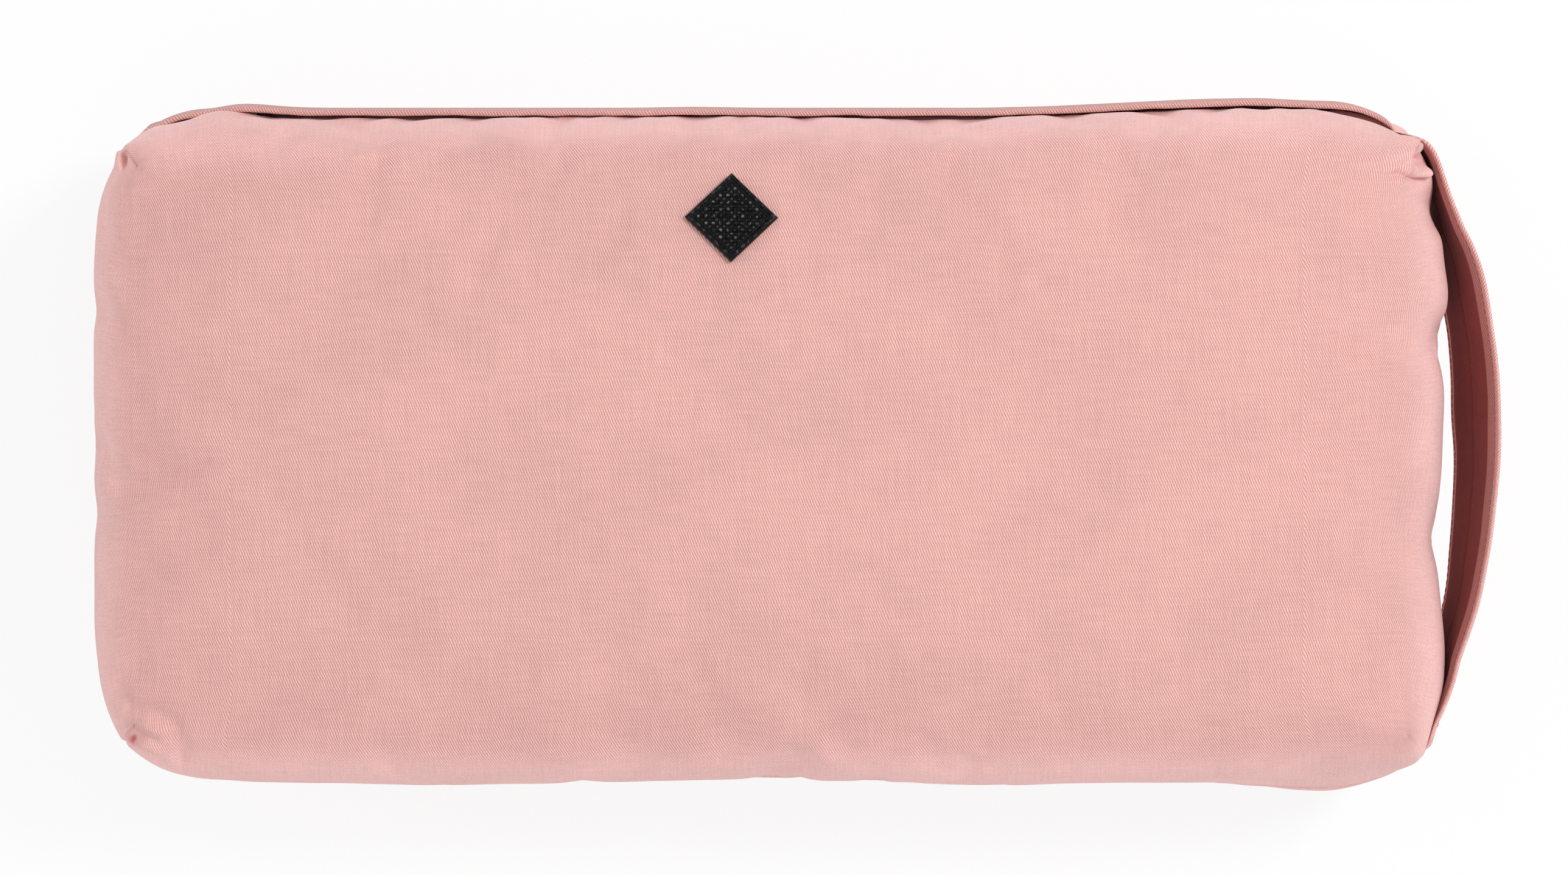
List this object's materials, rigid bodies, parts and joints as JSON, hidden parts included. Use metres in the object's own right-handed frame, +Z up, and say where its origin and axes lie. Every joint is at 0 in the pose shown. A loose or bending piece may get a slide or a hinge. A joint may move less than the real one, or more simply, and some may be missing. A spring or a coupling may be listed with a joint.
{
  "type": "meditation cushion",
  "caption": "Rectangular stuffed cushion with boxed corners, a zipped cover hidden by a placket, a carry strap at one end and a small diamond plate on its face.",
  "frame": {"origin": "centre of the flat resting face on the underside", "axes": "+X along the length towards the carry strap, +Y across the width towards the zip, +Z up through the thickness"},
  "size_m": [0.6257, 0.3037, 0.1507],
  "materials": {
    "cover_cloth": "matte",
    "liner_cloth": "matte",
    "filling": "matte",
    "zip_tape": "matte",
    "zip_teeth": "satin",
    "zip_metal": "satin",
    "badge_black": "gloss"
  },
  "bodies": {
    "cover": {"cover_front": "cover_cloth", "cover_back": "cover_cloth", "handle_leg_rear": "cover_cloth", "handle_leg_front": "cover_cloth", "liner_upper": "liner_cloth", "liner_lower": "liner_cloth", "filling": "filling", "zip_tape_upper": "zip_tape", "zip_tape_lower": "zip_tape", "zip_teeth_upper": "zip_teeth", "zip_teeth_lower": "zip_teeth", "zip_bottom_stop": "zip_metal", "zip_top_stop_upper": "zip_metal", "zip_top_stop_lower": "zip_metal", "badge_plate": "badge_black", "badge_backing": "zip_metal"},
    "handle": {"handle_grip": "cover_cloth"},
    "placket": {"zip_placket": "cover_cloth"},
    "slider": {"zip_slider": "zip_metal"},
    "pull": {"zip_pull": "zip_metal"}
  },
  "joints": [
    {"name": "handle_swing", "type": "hinge", "parent": "cover", "child": "handle", "pos_m": [0.29016, 0, 0.075], "axis": [0, -1, 0], "range_deg": [-15, 30], "stiffness_Nm_per_rad": 0.25, "deforming": ["handle_leg_rear", "handle_leg_front"]},
    {"name": "placket_lift", "type": "hinge", "parent": "cover", "child": "placket", "pos_m": [0, 0.15008, 0.06], "axis": [-1, 0, 0], "range_deg": [0, 95], "stiffness_Nm_per_rad": 0.05, "deforming": ["zip_placket"]},
    {"name": "zip_slide", "type": "slide", "parent": "cover", "child": "slider", "axis": [1, 0, 0], "range_m": [0, 0.46], "deforming": ["zip_tape_upper", "zip_tape_lower", "zip_teeth_upper", "zip_teeth_lower"]},
    {"name": "zip_pull_turn", "type": "hinge", "parent": "slider", "child": "pull", "pos_m": [-0.23425, 0.1493, 0.075], "axis": [0, 0, 1], "range_deg": [0, 150]}
  ]
}
